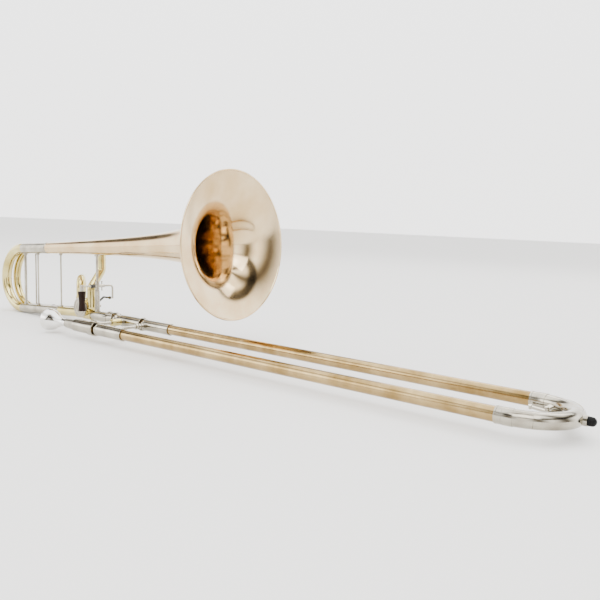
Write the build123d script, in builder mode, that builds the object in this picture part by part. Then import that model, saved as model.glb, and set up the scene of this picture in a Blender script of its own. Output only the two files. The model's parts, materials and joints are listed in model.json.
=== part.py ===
from build123d import *
import math
import os

os.makedirs("parts", exist_ok=True)

# A large-bore tenor trombone with a rotary F attachment, in millimetres.
# +X runs forward along the hand slide, +Z goes up from the slide to the bell, and -Y is the
# mouthpiece's side. The origin is on the axis of the slide's bell-side leg, at the joint where
# the slide screws on to the bell section. "Far" pieces are on that leg, "near" ones on the other.

# Overall sizes
slide_spacing = 94.4  # between the axes of the two slide legs
bell_spacing = 115.5  # from the neckpipe's axis up to the bell's axis
bell_tilt = 3.7  # degrees, the bell section leans away from the slide
bend_x = -106.0  # where the neckpipe's axis meets the slide's
rim_radius = 108.0
rim_u = 371.3  # places along the bell section are measured from the bend
tail_u = -91.4
bow_u = -183.5  # centre of the tuning bow

# Bell
flare_length = 14.0  # the flare's radius follows a power law of the distance to this point
flare_power = 0.66
bell_wall = 0.7
rim_bead = 1.5

# Main tuning slide
upper_leg_radius = 9.2
lower_leg_radius = 7.5
leg_wall = 0.6
tuning_clearance = 0.1
sleeve_wall = 0.9
tuning_ring = 0.6
ring_width = 2.4
ring_chamfer = 0.4
bow_seat = 4.0
ring_gap = 0.5
leg_reach = 72.0  # how far each leg reaches into its sleeve
lower_sleeve_end = -61.5
upper_joint_u = -176.0  # where the bow's upper leg meets its sleeve
bow_wall = 0.7
bar_u = -172.0
rod_u = -128.8
bar_radius = 2.6
rod_radius = 1.5
foot_radius = 3.2
foot_height = 2.4
stay_u = -54.9

# Neckpipe, valve and gooseneck
neck_radius = 8.3
neck_wall = 0.7
valve_u = 19.7
valve_rise = 10.7
casing_radius = 17.0
casing_front = -11.0  # places across the instrument, along Y
casing_back = 15.0
casing_wall = 2.4
knuckle_reach = 5.0
knuckle_wall = 0.9
rotor_clearance = 0.1
rotor_end_play = 0.3
spindle_radius = 2.4
cap_height = 3.5
cap_lip = 0.4
plate_thickness = 2.5
passage_radius = 5.4
passage_offset = 0.55  # of the rotor's radius
gooseneck_end_radius = 9.6
receiver_start = -24.0
receiver_wall = 1.2

# F attachment tubing
f_offset = 23.0  # across from the neckpipe to the F legs
f_radius = 7.5
f_wall = 0.6
f_port_spread = 15.5
f_bow_back = 27.0  # the small bow reaches back as it crosses
f_bow_height = 43.5
f_bow_rise = 17.0
f_bow_tail = 24.0
f_bow_bend = 16.5
f_riser_low = 16.0
f_riser_high = 46.0
f_riser_tail = 30.0
f_riser_bend = 14.0
f_sleeve_end = -112.0
f_leg_reach = 66.0
f_leg_wall = 0.5
f_leg_seat = 14.0
f_ferrule_width = 14.0
f_ferrule_wall = 0.5
f_ring_width = 3.0
f_upper_stay_gap = 21.5  # from the bell's tail to the upper stay
f_stay_radius = 1.8

# Thumb lever and its linkage
brace_u = 51.8
lever_rise = 48.5
lever_radius = 1.6
lever_clearance = 0.1
lever_reach_near = 32.5
lever_reach_far = 33.5
crank_length = 23.3
fitting_radius = 3.8
fitting_height = 17.0
hinge_tube_radius = 2.7
hinge_tube_end = 15.0
brace_lower_radius = 4.4
brace_upper_radius = 2.0
spool_length = 34.0
spool_radius = 6.9
spool_waist = 5.2
socket_height = 8.0
socket_radius = 3.6
arm_radius = 10.0
arm_rest_angle = 172.0
arm_swing = 90.0
arm_thickness = 3.4
arm_half_width = 2.4
stop_spread = 32.0  # degrees from the arm's resting places to the rubber stops
stud_reach = 3.5
stud_radius = 1.5
bumper_radius = 2.0
link_thickness = 2.4
link_half_width = 1.4
link_eye_radius = 2.7
link_gap = 0.4
link_knee = 17.0
crank_pin_radius = 1.1
crank_bend = 5.0
screw_radius = 2.6
hinge_screw_y = 10.0
hinge_screw_reach = 4.0
screw_height = 9.5

# Inner slide
inner_wall = 0.3
stocking_step = 0.2
stocking_length = 90.0
slide_clearance = 0.08
tenon_flange = 10.4
tenon_flange_width = 3.0
lock_nut_radius = 12.0
lock_nut_width = 17.0
nut_clearance = 0.2
barrel_start = 14.0
barrel_end = 66.0
barrel_radius = 9.8
barrel_wall = 0.6
cork_length = 10.0
cork_gap = 0.3
inner_brace_x = 24.0
inner_brace_radius = 2.8
collar_radius = 5.9
collar_near = 32.0
collar_far = 14.0
receiver_mouth_radius = 7.2
lock_clearance = 0.1
bead_width = 1.6
lock_ring_wall = 1.2
lock_ring_width = 11.0
lock_ring_lug = 4.0

# Outer slide
tube_radius = 7.9
tube_wall = 0.4
tube_entry = 12.0  # how far the closed slide enters the cork barrels
closed_gap = 5.0
outer_sleeve_wall = 1.15
outer_sleeve_length = 60.5
sleeve_band = 2.4
sleeve_lip = 0.4
crook_x = 693.0
inner_tip_gap = 21.0
ferrule_length = 9.0
collar_arc = 9.0  # degrees of the crook's ends that its collars cover
collar_wall = 0.45
ferrule_wall = 0.75
ferrule_band = 1.6
ferrule_lip = 0.3
crook_radius = 8.5
crook_wall = 1.0
guard_wall = 0.8
guard_spread = 50.0
guard_arc = 62.0
hand_brace_x = 79.0
hand_brace_radius = 2.6
hand_flange_radius = 4.4
hand_flange_length = 18.0
tip_ring_radius = 5.3
tip_ring_length = 3.2
tip_radius = 4.65
tip_length = 7.7
tip_round = 3.6

# Water key
key_hinge_angle = 24.0  # degrees round the crook from the far leg
key_nipple_angle = 43.0
key_lean = 20.0
key_stand_off = 6.5
key_lever_half = 1.1
key_tail_reach = 5.0  # how far the finger end reaches back past the crook
key_tail_gap = 5.0
key_disc_radius = 1.8
key_barrel_radius = 2.2
key_depth = 5.0  # the nipple and posts reach this far in before the crook is cut from them
key_pin_radius = 0.9
key_post_gap = 6.4
key_post_half = 0.9
key_pad_radius = 3.0
key_nipple_radius = 2.6
key_nipple_height = 2.2
key_pad_height = 1.6
key_clearance = 0.1

# Mouthpiece
mouthpiece_rim_x = -61.0
mouthpiece_rim_radius = 18.2
cup_radius = 12.8
cup_depth = 25.0
throat_radius = 3.6
shank_bore = 3.7
shank_start = -22.0
shank_radius = 6.1
shank_tip_radius = 5.5
shank_insert = 18.0
shank_clearance = 0.15
receiver_x = -10.1

# Sizes that follow
near_y = -slide_spacing
tilt = math.radians(bell_tilt)
outer_bore = tube_radius - tube_wall
stocking_radius = outer_bore - slide_clearance
inner_radius = stocking_radius - stocking_step
inner_bore = inner_radius - inner_wall
tube_start = barrel_end - tube_entry
sleeve_start = barrel_end + closed_gap
sleeve_radius = tube_radius + outer_sleeve_wall
inner_tip_x = crook_x - inner_tip_gap
crook_arc = slide_spacing / 2
upper_sleeve_radius = upper_leg_radius + tuning_clearance + sleeve_wall
lower_sleeve_radius = lower_leg_radius + tuning_clearance + sleeve_wall
bow_arc = bell_spacing / 2
f_leg_radius = f_radius - f_wall - tuning_clearance
casing_bore = casing_radius - casing_wall
rotor_radius = casing_bore - rotor_clearance
arm_back = casing_back + plate_thickness + 1.2

# Planes: the side view of each section, and sections across its length
bell_side = Plane(
    origin=(bend_x, 0, 0),
    x_dir=(math.cos(tilt), 0, math.sin(tilt)),
    z_dir=(0, -1, 0),
)


def slide_side(y=0):
    return Plane(origin=(0, y, 0), x_dir=(1, 0, 0), z_dir=(0, -1, 0))


def across(x, y=0, z=0):
    return Plane(origin=(x, y, z), x_dir=(0, 1, 0), z_dir=(1, 0, 0))


def bell_point(u, w=0, y=0):
    return bell_side.from_local_coords((u, w, -y))


def bell_across(u, w=0, y=0):
    return Plane(origin=bell_point(u, w, y), x_dir=(0, 1, 0), z_dir=bell_side.x_dir)


def bell_upright(u, w=0, y=0):
    return Plane(origin=bell_point(u, w, y), x_dir=bell_side.x_dir, z_dir=bell_side.y_dir)


def ring(plane, outside, inside, length, both=False):
    # A straight tube that starts on the plane.
    with BuildPart() as piece:
        with BuildSketch(plane):
            Circle(outside)
            if inside > 0:
                Circle(inside, mode=Mode.SUBTRACT)
        extrude(amount=length, both=both)
    return piece


def turned(plane, axis_height, points):
    # A turned piece: the outline is drawn beside its axis on a side plane.
    start = plane.from_local_coords((0, axis_height, 0))
    with BuildPart() as piece:
        with BuildSketch(plane):
            with BuildLine():
                Polyline(*[(x, axis_height + r) for x, r in points], close=True)
            make_face()
        revolve(axis=Axis(start, plane.x_dir))
    return piece


def bent_tube(points, bends, outside, inside):
    # A tube along straight runs joined by arcs.
    with BuildPart() as piece:
        with BuildLine() as route:
            FilletPolyline(*points, radius=bends)
        with BuildSketch(Plane(origin=route.line @ 0, z_dir=route.line % 0)):
            Circle(outside)
            if inside > 0:
                Circle(inside, mode=Mode.SUBTRACT)
        sweep()
    return piece


def save(piece, name):
    piece.part.label = name
    export_step(piece.part, f"parts/{name}.step")


# Bell: a power-law flare turned about its axis, with a rolled rim
def flare_radius(u):
    return rim_radius * (flare_length / (flare_length + rim_u - u)) ** flare_power


def flare_outline(inset):
    points = []
    stations = 15
    for i in range(stations):
        u = rim_u - (rim_u - tail_u) * (1 - i / (stations - 1)) ** 2.6
        slope = math.atan(flare_power * flare_radius(u) / (flare_length + rim_u - u))
        height = bell_spacing + flare_radius(u) - inset * math.cos(slope)
        points.append((u + inset * math.sin(slope), height))
    return points


bell_axis = Axis(bell_point(0, bell_spacing), bell_side.x_dir)
with BuildPart() as bell:
    with BuildSketch(bell_side):
        with BuildLine():
            outer = Spline(*flare_outline(0))
            inner = Spline(*flare_outline(bell_wall))
            Line(outer @ 0, inner @ 0)
            Line(outer @ 1, inner @ 1)
        make_face()
    revolve(axis=bell_axis)
    with BuildSketch(bell_side):
        with Locations((rim_u, bell_spacing + rim_radius - rim_bead / 2)):
            Circle(rim_bead)
    revolve(axis=bell_axis)
save(bell, "bell")

# The space the bell takes, for cutting the feet that stand on it
with BuildPart() as bell_core:
    with BuildSketch(bell_side):
        with BuildLine():
            skin = Spline(*flare_outline(0))
            Polyline(skin @ 1, (rim_u, bell_spacing), (tail_u, bell_spacing), skin @ 0)
        make_face()
    revolve(axis=bell_axis)

# Turned rings where the bell's tail and the neckpipe meet their tuning legs


def leg_ring(height, end, bore, shoulder, outside):
    # A turned ring that ends a fixed tube where the sleeve meets it.
    return turned(
        bell_side,
        height,
        [
            (end, bore),
            (end, shoulder),
            (end - ring_chamfer, outside),
            (end - ring_width + ring_chamfer, outside),
            (end - ring_width, shoulder),
            (end - ring_width, bore),
        ],
    )


tail_ring = leg_ring(
    bell_spacing, tail_u, upper_leg_radius, upper_sleeve_radius, upper_sleeve_radius + tuning_ring
)
neck_start = lower_sleeve_end + ring_gap + ring_width
neck_ring = leg_ring(0, neck_start, lower_leg_radius, neck_radius, neck_radius + tuning_ring)
with BuildPart() as leg_rings:
    add(tail_ring.part)
    add(neck_ring.part)
save(leg_rings, "leg_rings")

# Fixed legs of the main tuning slide
upper_sleeve_end = tail_u - ring_width - ring_gap
upper_leg = ring(
    bell_across(upper_sleeve_end - leg_reach, bell_spacing),
    upper_leg_radius,
    upper_leg_radius - leg_wall,
    tail_u - upper_sleeve_end + leg_reach,
)
lower_leg = ring(
    bell_across(lower_sleeve_end - leg_reach),
    lower_leg_radius,
    lower_leg_radius - leg_wall,
    neck_start - lower_sleeve_end + leg_reach,
)
with BuildPart() as tuning_legs:
    add(upper_leg.part)
    add(lower_leg.part)
save(tuning_legs, "tuning_legs")

# Main tuning bow, opening up from the neckpipe's bore to the bell's
with BuildPart() as bow:
    with BuildLine(bell_side) as bow_route:
        CenterArc((bow_u, bow_arc), bow_arc, 270, -180)
    for inset in (0, bow_wall):
        with BuildSketch(Plane(origin=bow_route.line @ 0, z_dir=bow_route.line % 0)):
            Circle(lower_sleeve_radius - inset)
        with BuildSketch(Plane(origin=bow_route.line @ 1, z_dir=bow_route.line % 1)):
            Circle(upper_sleeve_radius - inset)
        sweep(
            path=bow_route.line,
            multisection=True,
            mode=Mode.ADD if inset == 0 else Mode.SUBTRACT,
        )
    with BuildSketch(bell_across(bow_u, bell_spacing)):
        Circle(upper_sleeve_radius)
        Circle(upper_sleeve_radius - bow_wall, mode=Mode.SUBTRACT)
    extrude(amount=upper_joint_u - bow_u)
save(bow, "tuning_bow")


def tuning_sleeve(height, leg_radius, sleeve_radius, start, end):
    # Nickel sleeve with a turned ring at its open end and a bored step for the bow.
    return turned(
        bell_side,
        height,
        [
            (start, leg_radius - leg_wall),
            (start, sleeve_radius),
            (end - ring_width, sleeve_radius),
            (end - ring_width + ring_chamfer, sleeve_radius + tuning_ring),
            (end - ring_chamfer, sleeve_radius + tuning_ring),
            (end, sleeve_radius),
            (end, leg_radius + tuning_clearance),
            (start + bow_seat, leg_radius + tuning_clearance),
            (start + bow_seat, leg_radius - leg_wall),
        ],
    )


upper_sleeve = tuning_sleeve(
    bell_spacing, upper_leg_radius, upper_sleeve_radius, upper_joint_u, upper_sleeve_end
)
save(upper_sleeve, "upper_tuning_sleeve")
lower_sleeve = tuning_sleeve(
    0, lower_leg_radius, lower_sleeve_radius, bow_u, lower_sleeve_end
)
save(lower_sleeve, "lower_tuning_sleeve")


def stay(u, radius, low_radius, high_radius, high_core):
    # An upright rod between the two legs, with a turned foot saddled on each.
    foot = max(foot_radius, radius + 1)
    low_core = ring(bell_across(u), low_radius, 0, foot * 3, both=True)
    with BuildPart() as piece:
        with BuildSketch(bell_upright(u)):
            Circle(radius)
        extrude(amount=bell_spacing)
        with BuildSketch(bell_upright(u)):
            Circle(foot)
        extrude(amount=low_radius + foot_height)
        with BuildSketch(bell_upright(u, bell_spacing - high_radius - foot_height)):
            Circle(foot)
        extrude(amount=foot_height + high_radius)
        add(low_core.part, mode=Mode.SUBTRACT)
        add(high_core.part, mode=Mode.SUBTRACT)
    return piece


tuning_stays = []
for u, radius in ((bar_u, bar_radius), (rod_u, rod_radius)):
    sleeve_core = ring(bell_across(u, bell_spacing), upper_sleeve_radius, 0, 20, both=True)
    tuning_stays.append(stay(u, radius, lower_sleeve_radius, upper_sleeve_radius, sleeve_core))
with BuildPart() as tuning_braces:
    for piece in tuning_stays:
        add(piece.part)
save(tuning_braces, "tuning_braces")
save(stay(stay_u, rod_radius, neck_radius, flare_radius(stay_u), bell_core), "neck_stay")

# Neckpipe, from its tuning leg to the valve's rear knuckle
neck_end = valve_u - casing_radius - knuckle_reach
neckpipe = ring(
    bell_across(neck_start),
    neck_radius,
    neck_radius - neck_wall,
    neck_end - neck_start,
)
save(neckpipe, "neckpipe")

# Valve casing with its four knuckles
valve_point = bell_point(valve_u, valve_rise)
valve_x = valve_point.X
goose_start = valve_x + casing_radius + knuckle_reach
valve_axis_plane = bell_side.offset(-casing_back)
f_port_top = valve_rise + casing_radius + 1.5
with BuildPart() as casing:
    with BuildSketch(valve_axis_plane):
        with Locations((valve_u, valve_rise)):
            Circle(casing_radius)
    extrude(amount=casing_back - casing_front)
    with BuildSketch(bell_across(neck_end)):
        Circle(neck_radius + knuckle_wall)
    extrude(amount=valve_u - neck_end)
    with BuildSketch(across(goose_start)):
        Circle(neck_radius + knuckle_wall)
    extrude(amount=valve_x - goose_start)
    for side in (-1, 1):
        with BuildSketch(bell_upright(valve_u + side * f_port_spread, valve_rise)):
            Circle(f_radius + knuckle_wall)
        extrude(amount=f_port_top - valve_rise)
    with BuildSketch(bell_across(neck_end)):
        Circle(neck_radius - neck_wall)
    extrude(amount=valve_u - neck_end, mode=Mode.SUBTRACT)
    with BuildSketch(across(goose_start)):
        Circle(neck_radius - neck_wall)
    extrude(amount=valve_x - goose_start, mode=Mode.SUBTRACT)
    for side in (-1, 1):
        with BuildSketch(bell_upright(valve_u + side * f_port_spread, valve_rise + knuckle_wall)):
            Circle(f_radius - f_wall)
        extrude(amount=f_port_top, mode=Mode.SUBTRACT)
    with BuildSketch(bell_side.offset(-casing_back + casing_wall)):
        with Locations((valve_u, valve_rise)):
            Circle(casing_bore)
    extrude(amount=casing_back - casing_front, mode=Mode.SUBTRACT)
    with BuildSketch(valve_axis_plane):
        with Locations((valve_u, valve_rise)):
            Circle(spindle_radius + rotor_clearance)
    extrude(amount=casing_wall, mode=Mode.SUBTRACT)
save(casing, "valve_casing")


def valve_disc(front_y, back_y, outside, inside=0):
    with BuildPart() as piece:
        with BuildSketch(bell_side.offset(-back_y)):
            with Locations((valve_u, valve_rise)):
                Circle(outside)
                if inside > 0:
                    Circle(inside, mode=Mode.SUBTRACT)
        extrude(amount=back_y - front_y)
    return piece


# Front bearing plate inside the casing, and the screwed cap over it
spindle_bore = spindle_radius + rotor_clearance
front_plate = valve_disc(
    casing_front, casing_front + plate_thickness, casing_bore, spindle_bore
)
save(front_plate, "valve_front_bearing")
cap_disc = valve_disc(casing_front - cap_height, casing_front, casing_radius + cap_lip)
with BuildPart() as front_cap:
    add(cap_disc.part)
    fillet(front_cap.edges().filter_by(GeomType.CIRCLE).sort_by(Axis.Y)[0], 0.6)
    for groove in (0.45, 0.8):
        with BuildSketch(bell_side.offset(-casing_front + cap_height - 0.5)):
            with Locations((valve_u, valve_rise)):
                Circle(casing_radius * groove + 0.7)
                Circle(casing_radius * groove - 0.7, mode=Mode.SUBTRACT)
        extrude(amount=1, mode=Mode.SUBTRACT)
save(front_cap, "valve_front_cap")

# Rotor with two air passages and its spindle
rotor_front = casing_front + plate_thickness + rotor_end_play
rotor_back = casing_back - casing_wall - rotor_end_play
with BuildPart() as rotor:
    with BuildSketch(bell_side.offset(-rotor_back)):
        with Locations((valve_u, valve_rise)):
            Circle(rotor_radius)
    extrude(amount=rotor_back - rotor_front)
    for side in (-1, 1):
        height = valve_rise + side * rotor_radius * passage_offset
        with BuildSketch(bell_across(valve_u - casing_radius, height)):
            Circle(passage_radius)
        extrude(amount=casing_radius * 2, mode=Mode.SUBTRACT)
    with BuildSketch(bell_side.offset(-arm_back)):
        with Locations((valve_u, valve_rise)):
            Circle(spindle_radius)
    extrude(amount=arm_back - rotor_back)
    with BuildSketch(bell_side.offset(-rotor_front)):
        with Locations((valve_u, valve_rise)):
            Circle(spindle_radius)
    extrude(amount=plate_thickness)
save(rotor, "rotor")


def around_valve(angle, radius):
    turn = math.radians(angle)
    return (valve_u + radius * math.cos(turn), valve_rise + radius * math.sin(turn))


# Stop plate on the back of the casing, with its two rubber stops
stop_angles = (arm_rest_angle + stop_spread, arm_rest_angle - arm_swing - stop_spread)
stop_plate = valve_disc(
    casing_back, casing_back + plate_thickness, casing_radius - 1, spindle_bore
)
save(stop_plate, "stop_plate")
with BuildPart() as stops:
    for angle in stop_angles:
        with BuildSketch(bell_side.offset(-casing_back - plate_thickness)):
            with Locations(around_valve(angle, arm_radius)):
                Circle(bumper_radius)
        extrude(amount=-arm_thickness - 1.2)
save(stops, "stop_bumpers")

# Stop arm on the rotor's spindle, with the stud that the link drives
arm_front = arm_back + arm_thickness
stud_end = arm_front + stud_reach
with BuildPart() as arm:
    with BuildSketch(bell_side.offset(-arm_front)):
        with Locations((valve_u, valve_rise)):
            Circle(spindle_radius + 2)
        with Locations(around_valve(arm_rest_angle, arm_radius / 2)):
            Rectangle(arm_radius, arm_half_width * 2, rotation=arm_rest_angle)
        with Locations(around_valve(arm_rest_angle, arm_radius)):
            Circle(arm_half_width)
    extrude(amount=arm_thickness)
    with BuildSketch(bell_side.offset(-stud_end)):
        with Locations(around_valve(arm_rest_angle, arm_radius)):
            Circle(stud_radius)
    extrude(amount=stud_end - arm_front)
save(arm, "stop_arm")
screw_disc = valve_disc(arm_front, arm_front + screw_height, screw_radius)
with BuildPart() as rotor_screw:
    add(screw_disc.part)
    fillet(rotor_screw.edges().filter_by(GeomType.CIRCLE).sort_by(Axis.Y)[-1], 1.2)
save(rotor_screw, "rotor_screw")

# Gooseneck, opening from the valve to the slide receiver
gooseneck = turned(
    slide_side(),
    0,
    [
        (goose_start, neck_radius - neck_wall),
        (goose_start, neck_radius),
        (receiver_start, gooseneck_end_radius),
        (receiver_start, gooseneck_end_radius - neck_wall),
    ],
)
save(gooseneck, "gooseneck")
goose_core = turned(
    slide_side(),
    0,
    [
        (goose_start, 0),
        (goose_start, neck_radius),
        (receiver_start, gooseneck_end_radius),
        (receiver_start, 0),
    ],
)
receiver_bore = gooseneck_end_radius - receiver_wall
receiver = ring(across(receiver_start), gooseneck_end_radius, receiver_bore, -receiver_start)
save(receiver, "slide_receiver")

# Bell brace: a slim upper tube, the lever's fitting and a stout lower tube
fitting_low = lever_rise - fitting_height / 2
fitting_high = lever_rise + fitting_height / 2
with BuildPart() as brace_lower:
    with BuildSketch(bell_upright(brace_u)):
        Circle(brace_lower_radius)
    extrude(amount=fitting_low)
    add(goose_core.part, mode=Mode.SUBTRACT)
    with BuildSketch(bell_across(brace_u, -neck_radius * 2)):
        Rectangle(neck_radius * 3, neck_radius * 4)
    extrude(amount=neck_radius, both=True, mode=Mode.SUBTRACT)
save(brace_lower, "bell_brace_lower")
brace_top = bell_spacing - flare_radius(brace_u)
with BuildPart() as brace_upper:
    with BuildSketch(bell_upright(brace_u, fitting_high)):
        Circle(brace_upper_radius)
    extrude(amount=bell_spacing - fitting_high)
    with BuildSketch(bell_upright(brace_u, brace_top - foot_height)):
        Circle(foot_radius + 1)
    extrude(amount=foot_height * 2)
    add(bell_core.part, mode=Mode.SUBTRACT)
save(brace_upper, "bell_brace_upper")
lever_bore = lever_radius + lever_clearance
with BuildPart() as fitting:
    with BuildSketch(bell_upright(brace_u, fitting_low)):
        Circle(fitting_radius)
    extrude(amount=fitting_height)
    fillet(fitting.edges().filter_by(GeomType.CIRCLE), 0.8)
    with BuildSketch(bell_side):
        with Locations((brace_u, lever_rise)):
            Circle(hinge_tube_radius)
    extrude(amount=-hinge_tube_end)
    with BuildSketch(bell_side):
        with Locations((brace_u, lever_rise)):
            Circle(hinge_tube_radius)
    extrude(amount=fitting_radius + 1.5)
    with BuildSketch(bell_side):
        with Locations((brace_u, lever_rise)):
            Circle(lever_bore)
    extrude(amount=hinge_tube_end * 2, both=True, mode=Mode.SUBTRACT)
save(fitting, "lever_fitting")

# Small screws that hold the hinge tube, above and below the lever's shaft
with BuildPart() as hinge_screws:
    for side in (-1, 1):
        with BuildSketch(bell_upright(brace_u, lever_rise + side * hinge_tube_radius, hinge_screw_y)):
            Circle(0.9)
        extrude(amount=side * hinge_screw_reach)
        head = lever_rise + side * (hinge_tube_radius + hinge_screw_reach)
        with BuildSketch(bell_upright(brace_u, head, hinge_screw_y)):
            Circle(1.5)
        extrude(amount=side * 1.4)
    with BuildSketch(bell_side.offset(-hinge_screw_y - 3)):
        with Locations((brace_u, lever_rise)):
            Circle(hinge_tube_radius)
    extrude(amount=6, mode=Mode.SUBTRACT)
save(hinge_screws, "hinge_screws")

# Thumb lever: a shaft through the brace with a crank at its far end
crank_low = lever_rise - crank_length
shaft = bent_tube(
    [
        bell_point(brace_u, lever_rise, -lever_reach_near - socket_radius + 0.5),
        bell_point(brace_u, lever_rise, lever_reach_far),
        bell_point(brace_u, crank_low, lever_reach_far),
    ],
    crank_bend,
    lever_radius,
    0,
)
link_front = stud_end + link_gap
link_back = link_front + link_thickness
with BuildPart() as lever:
    add(shaft.part)
    with BuildSketch(bell_side.offset(-lever_reach_far)):
        with Locations((brace_u, crank_low + lever_radius)):
            Circle(crank_pin_radius)
    extrude(amount=lever_reach_far - link_front + 0.6)
save(lever, "lever_shaft")

# Nickel socket on the shaft's near end, and the hourglass thumb grip that hangs from it
spool_top = lever_rise - socket_height
spool_foot = spool_top - spool_length
spool_waist_w = spool_top - spool_length * 0.55
with BuildPart() as socket:
    with BuildSketch(bell_upright(brace_u, spool_top, -lever_reach_near)):
        Circle(socket_radius)
    extrude(amount=socket_height + lever_radius + 1.2)
    fillet(socket.edges().filter_by(GeomType.CIRCLE).sort_by(Axis.Z)[-1], 1.5)
    with BuildSketch(bell_side):
        with Locations((brace_u, lever_rise)):
            Circle(lever_radius)
    extrude(amount=lever_reach_near * 2, mode=Mode.SUBTRACT)
save(socket, "lever_socket")
with BuildPart() as spool:
    with BuildSketch(bell_side.offset(lever_reach_near)):
        with BuildLine():
            flank = Spline(
                (brace_u + spool_radius, spool_top - 1),
                (brace_u + spool_waist, spool_waist_w),
                (brace_u + spool_radius - 0.4, spool_foot + 1),
            )
            Line(flank @ 0, (brace_u + spool_radius - 1, spool_top))
            Polyline(
                (brace_u + spool_radius - 1, spool_top),
                (brace_u, spool_top),
                (brace_u, spool_foot),
                (brace_u + spool_radius - 1.4, spool_foot),
                flank @ 1,
            )
        make_face()
    revolve(axis=Axis(bell_point(brace_u, 0, -lever_reach_near), bell_side.y_dir))
save(spool, "thumb_grip")

# Link between the crank and the stop arm
crank_pin = (brace_u, crank_low + lever_radius)
arm_pin = around_valve(arm_rest_angle, arm_radius)
knee = (brace_u - link_knee, crank_pin[1] + 0.6)
with BuildPart() as link:
    with BuildSketch(bell_side.offset(-link_back)):
        for start, end in ((crank_pin, knee), (knee, arm_pin)):
            run = math.dist(start, end)
            angle = math.degrees(math.atan2(end[1] - start[1], end[0] - start[0]))
            with Locations(((start[0] + end[0]) / 2, (start[1] + end[1]) / 2)):
                Rectangle(run, link_half_width * 2, rotation=angle)
        with Locations(knee):
            Circle(link_half_width)
        with Locations(crank_pin, arm_pin):
            Circle(link_eye_radius)
        with Locations(crank_pin):
            Circle(crank_pin_radius + lever_clearance, mode=Mode.SUBTRACT)
    extrude(amount=link_thickness)
save(link, "lever_link")

# Return spring, a close coil wound on the shaft beside the fitting
spring_start = fitting_radius + 2.2
with BuildPart() as spring:
    for turn in range(5):
        with BuildSketch(bell_side.offset(spring_start + 1.2 + turn * 1.3)):
            with Locations((brace_u, lever_rise)):
                Circle(lever_radius + 1.6)
                Circle(lever_radius + 0.5, mode=Mode.SUBTRACT)
        extrude(amount=-1.3)
save(spring, "lever_spring")

# F attachment: a riser from the valve to the upper leg
f_front_u = valve_u + f_port_spread
riser = bent_tube(
    [
        bell_point(f_front_u, f_port_top),
        bell_point(f_front_u, f_port_top + f_riser_low),
        bell_point(f_front_u, f_port_top + f_riser_high, f_offset),
        bell_point(f_front_u, bell_spacing, f_offset),
        bell_point(f_front_u - f_riser_tail, bell_spacing, f_offset),
    ],
    f_riser_bend,
    f_radius,
    f_radius - f_wall,
)
save(riser, "f_riser_tube")

# The small return bow, from the valve up, over and down behind, to the lower leg
f_rear_u = valve_u - f_port_spread
f_low_u = f_rear_u - f_bow_back
return_bow = bent_tube(
    [
        bell_point(f_rear_u, f_port_top),
        bell_point(f_rear_u, f_bow_height + f_bow_rise),
        bell_point(f_low_u, f_bow_height + f_bow_rise, f_offset),
        bell_point(f_low_u, 0, f_offset),
        bell_point(f_low_u - f_bow_tail, 0, f_offset),
    ],
    f_bow_bend,
    f_radius,
    f_radius - f_wall,
)
save(return_bow, "f_return_bow")

# Straight F legs with their ferrules, and the inner legs of the F tuning slide
f_upper_start = f_front_u - f_riser_tail
f_lower_start = f_low_u - f_bow_tail
f_fixed_end = f_sleeve_end + 0.5
with BuildPart() as f_legs:
    for height, start in ((bell_spacing, f_upper_start), (0, f_lower_start)):
        with BuildSketch(bell_across(f_fixed_end, height, f_offset)):
            Circle(f_radius)
            Circle(f_leg_radius, mode=Mode.SUBTRACT)
        extrude(amount=start - f_fixed_end)
        with BuildSketch(bell_across(f_fixed_end - f_leg_reach, height, f_offset)):
            Circle(f_leg_radius)
            Circle(f_leg_radius - f_leg_wall, mode=Mode.SUBTRACT)
        extrude(amount=f_leg_reach + f_leg_seat)
save(f_legs, "f_legs")
with BuildPart() as f_ferrules:
    for height, start in ((bell_spacing, f_upper_start), (0, f_lower_start)):
        with BuildSketch(bell_across(start - f_ferrule_width / 2, height, f_offset)):
            Circle(f_radius + f_ferrule_wall)
            Circle(f_radius, mode=Mode.SUBTRACT)
        extrude(amount=f_ferrule_width)
save(f_ferrules, "f_ferrules")

# F tuning slide: two sleeves, its bow and its brace
with BuildPart() as f_sleeves:
    for height in (bell_spacing, 0):
        with BuildSketch(bell_across(bow_u, height, f_offset)):
            Circle(f_radius)
            Circle(f_radius - f_wall, mode=Mode.SUBTRACT)
        extrude(amount=f_sleeve_end - bow_u)
        with BuildSketch(bell_across(f_sleeve_end - f_ring_width, height, f_offset)):
            Circle(f_radius + tuning_ring)
            Circle(f_radius - f_wall, mode=Mode.SUBTRACT)
        extrude(amount=f_ring_width)
save(f_sleeves, "f_tuning_sleeves")
with BuildPart() as f_bow:
    with BuildLine(bell_side.offset(-f_offset)) as f_route:
        CenterArc((bow_u, bow_arc), bow_arc, 270, -180)
    with BuildSketch(Plane(origin=f_route.line @ 0, z_dir=f_route.line % 0)):
        Circle(f_radius)
        Circle(f_radius - f_wall, mode=Mode.SUBTRACT)
    sweep(path=f_route.line)
save(f_bow, "f_tuning_bow")
with BuildPart() as f_bar:
    with BuildSketch(bell_upright(bar_u, 0, f_offset)):
        Circle(rod_radius)
    extrude(amount=bell_spacing)
    for height in (0, bell_spacing):
        with BuildSketch(bell_across(bar_u, height, f_offset)):
            Circle(f_radius)
        extrude(amount=10, both=True, mode=Mode.SUBTRACT)
save(f_bar, "f_tuning_bar")

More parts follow.
